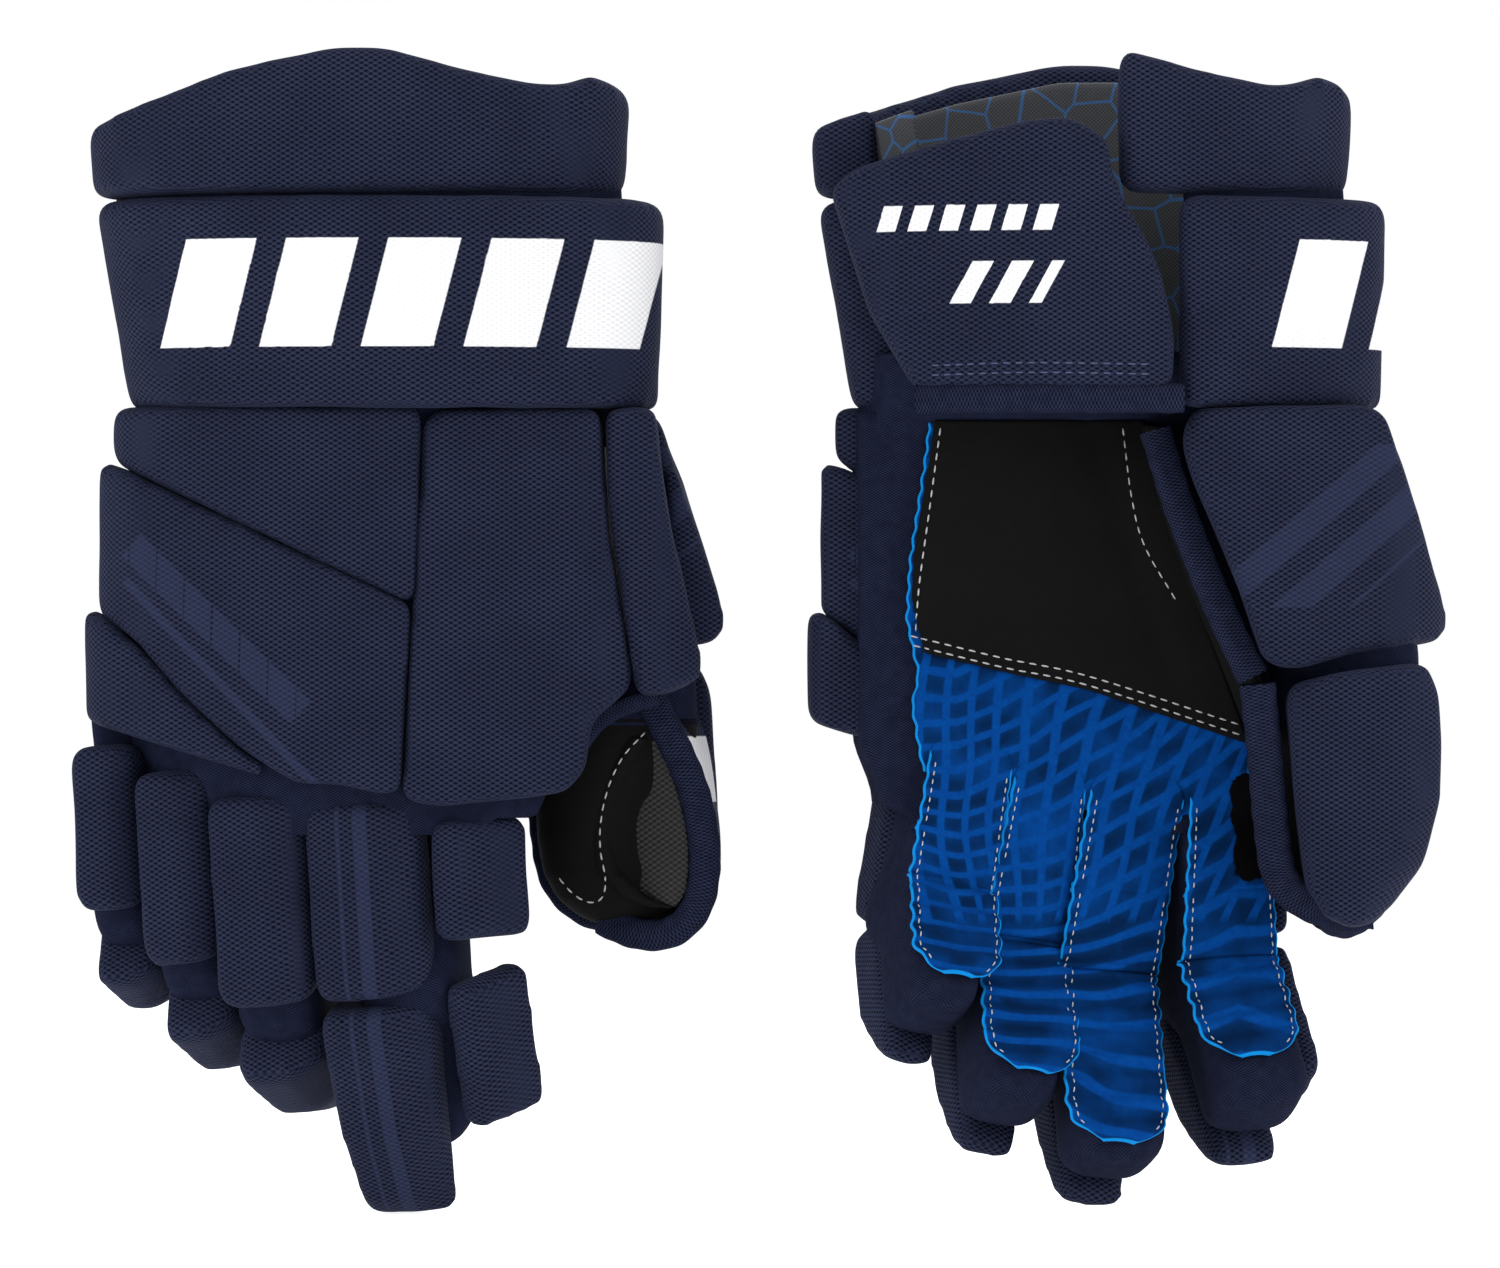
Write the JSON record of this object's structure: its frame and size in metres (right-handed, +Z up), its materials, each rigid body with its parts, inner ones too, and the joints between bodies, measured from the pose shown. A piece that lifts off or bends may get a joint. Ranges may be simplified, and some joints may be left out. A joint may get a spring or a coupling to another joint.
{
  "type": "pair of ice hockey gloves",
  "caption": "Pair of padded ice hockey gloves in navy woven nylon with flared cuffs, segmented finger rolls, a suede palm and a palm-side cuff flap.",
  "frame": {"origin": "bottom centre of the pair's bounding box, level with the lowest fingertip", "axes": "+Z up towards the cuffs with the fingers down; +X along the pair, towards the thumbs; the right glove shows its back and the left glove its palm towards -Y"},
  "size_m": [0.4216, 0.1164, 0.3555],
  "materials": {
    "nylon": "woven, slight sheen",
    "liner": "knit lining",
    "blue_palm": "printed suede",
    "black_palm": "brushed suede",
    "plastic": "matte"
  },
  "bodies": {
    "right_hand": {"right_hand_shell": "liner", "right_palm": "blue_palm", "right_palm_patch": "black_palm", "right_back_upper_pad": "nylon", "right_back_middle_pad": "nylon", "right_back_lower_pad": "nylon", "right_back_main_pad": "nylon", "right_side_roll": "nylon"},
    "right_cuff": {"right_cuff_top_roll": "nylon", "right_cuff_band": "nylon", "right_cuff_insert": "plastic"},
    "right_flap": {"right_cuff_flap": "nylon"},
    "right_thumb_base": {"right_thumb_upper_pad": "nylon", "right_thumb_insert": "plastic"},
    "right_thumb_tip": {"right_thumb_tip_pad": "nylon", "right_thumb_sleeve": "black_palm"},
    "right_index_proximal": {"right_index_proximal_roll": "nylon", "right_index_proximal_sleeve": "nylon", "right_index_side_pad_upper": "nylon"},
    "right_index_distal_part": {"right_index_distal": "nylon", "right_index_side_pad_lower": "nylon"},
    "right_middle_proximal": {"right_middle_proximal_roll": "nylon", "right_middle_proximal_sleeve": "nylon"},
    "right_middle_distal_part": {"right_middle_distal": "nylon"},
    "right_ring_proximal": {"right_ring_proximal_roll": "nylon", "right_ring_proximal_sleeve": "nylon"},
    "right_ring_distal_part": {"right_ring_distal": "nylon"},
    "right_little_proximal": {"right_little_proximal_roll": "nylon", "right_little_proximal_sleeve": "nylon"},
    "right_little_distal_part": {"right_little_distal": "nylon"},
    "left_hand": {"left_hand_shell": "liner", "left_palm": "blue_palm", "left_palm_patch": "black_palm", "left_back_upper_pad": "nylon", "left_back_middle_pad": "nylon", "left_back_lower_pad": "nylon", "left_back_main_pad": "nylon", "left_side_roll": "nylon"},
    "left_cuff": {"left_cuff_top_roll": "nylon", "left_cuff_band": "nylon", "left_cuff_insert": "plastic"},
    "left_flap": {"left_cuff_flap": "nylon"},
    "left_thumb_base": {"left_thumb_upper_pad": "nylon", "left_thumb_insert": "plastic"},
    "left_thumb_tip": {"left_thumb_tip_pad": "nylon", "left_thumb_sleeve": "black_palm"},
    "left_index_proximal": {"left_index_proximal_roll": "nylon", "left_index_proximal_sleeve": "nylon", "left_index_side_pad_upper": "nylon"},
    "left_index_distal_part": {"left_index_distal": "nylon", "left_index_side_pad_lower": "nylon"},
    "left_middle_proximal": {"left_middle_proximal_roll": "nylon", "left_middle_proximal_sleeve": "nylon"},
    "left_middle_distal_part": {"left_middle_distal": "nylon"},
    "left_ring_proximal": {"left_ring_proximal_roll": "nylon", "left_ring_proximal_sleeve": "nylon"},
    "left_ring_distal_part": {"left_ring_distal": "nylon"},
    "left_little_proximal": {"left_little_proximal_roll": "nylon", "left_little_proximal_sleeve": "nylon"},
    "left_little_distal_part": {"left_little_distal": "nylon"}
  },
  "joints": [
    {"name": "right_wrist_fold", "type": "hinge", "parent": "right_hand", "child": "right_cuff", "pos_m": [-0.11521, -0.049, 0.24609], "axis": [1, 0, 0], "range_deg": [-1, 20]},
    {"name": "right_flap_swing", "type": "hinge", "parent": "right_cuff", "child": "right_flap", "pos_m": [-0.09521, 0.047, 0.29049], "axis": [0.0599, 0, -0.9982], "range_deg": [0, 30]},
    {"name": "right_thumb_swing", "type": "hinge", "parent": "right_hand", "child": "right_thumb_base", "pos_m": [-0.06521, 0.049, 0.24589], "axis": [1, 0, 0], "range_deg": [-2, 20]},
    {"name": "right_thumb_bend", "type": "hinge", "parent": "right_thumb_base", "child": "right_thumb_tip", "pos_m": [-0.04021, 0.02, 0.16849], "axis": [-0.9854, 0, -0.1701], "range_deg": [-3, 14]},
    {"name": "right_index_knuckle", "type": "hinge", "parent": "right_hand", "child": "right_index_proximal", "pos_m": [-0.11321, 0.01, 0.12799], "axis": [0.9768, -0.2076, 0.0523], "range_deg": [-3, 35]},
    {"name": "right_index_middle", "type": "hinge", "parent": "right_index_proximal", "child": "right_index_distal_part", "pos_m": [-0.11383, -0.00729, 0.0711], "axis": [0.9768, -0.2076, 0.0523], "range_deg": [-18, 40]},
    {"name": "right_middle_knuckle", "type": "hinge", "parent": "right_hand", "child": "right_middle_proximal", "pos_m": [-0.14571, 0.012, 0.12949], "axis": [0.9768, -0.2076, 0.0523], "range_deg": [-3, 60]},
    {"name": "right_middle_middle", "type": "hinge", "parent": "right_middle_proximal", "child": "right_middle_distal_part", "pos_m": [-0.14615, -0.00517, 0.06961], "axis": [0.9768, -0.2076, 0.0523], "range_deg": [-66, 10]},
    {"name": "right_ring_knuckle", "type": "hinge", "parent": "right_hand", "child": "right_ring_proximal", "pos_m": [-0.17121, 0.018, 0.13699], "axis": [0.9768, -0.2076, 0.0523], "range_deg": [-3, 60]},
    {"name": "right_ring_middle", "type": "hinge", "parent": "right_ring_proximal", "child": "right_ring_distal_part", "pos_m": [-0.17196, 0.00063, 0.08209], "axis": [0.9768, -0.2076, 0.0523], "range_deg": [-66, 10]},
    {"name": "right_little_knuckle", "type": "hinge", "parent": "right_hand", "child": "right_little_proximal", "pos_m": [-0.19221, 0.026, 0.14449], "axis": [0.9776, -0.2078, 0.0349], "range_deg": [-3, 60]},
    {"name": "right_little_middle", "type": "hinge", "parent": "right_little_proximal", "child": "right_little_distal_part", "pos_m": [-0.1943, 0.00843, 0.09853], "axis": [0.9776, -0.2078, 0.0349], "range_deg": [-66, 10]},
    {"name": "left_wrist_fold", "type": "hinge", "parent": "left_hand", "child": "left_cuff", "pos_m": [0.10679, 0.049, 0.24609], "axis": [-1, 0, 0], "range_deg": [-1, 20]},
    {"name": "left_flap_swing", "type": "hinge", "parent": "left_cuff", "child": "left_flap", "pos_m": [0.12679, -0.047, 0.29049], "axis": [-0.0599, 0, 0.9982], "range_deg": [0, 30]},
    {"name": "left_thumb_swing", "type": "hinge", "parent": "left_hand", "child": "left_thumb_base", "pos_m": [0.15679, -0.049, 0.24589], "axis": [-1, 0, 0], "range_deg": [-2, 20]},
    {"name": "left_thumb_bend", "type": "hinge", "parent": "left_thumb_base", "child": "left_thumb_tip", "pos_m": [0.18179, -0.02, 0.16849], "axis": [0.9854, 0, 0.1701], "range_deg": [-3, 14]},
    {"name": "left_index_knuckle", "type": "hinge", "parent": "left_hand", "child": "left_index_proximal", "pos_m": [0.14179, -0.01, 0.12729], "axis": [-0.9391, -0.3418, -0.0349], "range_deg": [-5, 20]},
    {"name": "left_index_middle", "type": "hinge", "parent": "left_index_proximal", "child": "left_index_distal_part", "pos_m": [0.13847, 0.00489, 0.07079], "axis": [-0.9391, -0.3418, -0.0349], "range_deg": [-30, 24]},
    {"name": "left_middle_knuckle", "type": "hinge", "parent": "left_hand", "child": "left_middle_proximal", "pos_m": [0.11229, -0.012, 0.12799], "axis": [-0.9345, -0.3401, 0.1045], "range_deg": [-5, 58]},
    {"name": "left_middle_middle", "type": "hinge", "parent": "left_middle_proximal", "child": "left_middle_distal_part", "pos_m": [0.10136, -0.00016, 0.06879], "axis": [-0.9345, -0.3401, 0.1045], "range_deg": [-20, 55]},
    {"name": "left_ring_knuckle", "type": "hinge", "parent": "left_hand", "child": "left_ring_proximal", "pos_m": [0.08579, -0.018, 0.13149], "axis": [-0.9254, -0.3368, 0.1736], "range_deg": [-5, 58]},
    {"name": "left_ring_middle", "type": "hinge", "parent": "left_ring_proximal", "child": "left_ring_distal_part", "pos_m": [0.07166, -0.00686, 0.07778], "axis": [-0.9254, -0.3368, 0.1736], "range_deg": [-24, 50]},
    {"name": "left_little_knuckle", "type": "hinge", "parent": "left_hand", "child": "left_little_proximal", "pos_m": [0.06229, -0.026, 0.13849], "axis": [-0.9192, -0.3345, 0.2079], "range_deg": [-5, 58]},
    {"name": "left_little_middle", "type": "hinge", "parent": "left_little_proximal", "child": "left_little_distal_part", "pos_m": [0.04805, -0.01397, 0.09488], "axis": [-0.9192, -0.3345, 0.2079], "range_deg": [-28, 45]},
    {"name": "pair_spacing", "type": "slide", "parent": "right_hand", "child": "left_hand", "axis": [1, 0, 0], "range_m": [0, 0.15]}
  ]
}
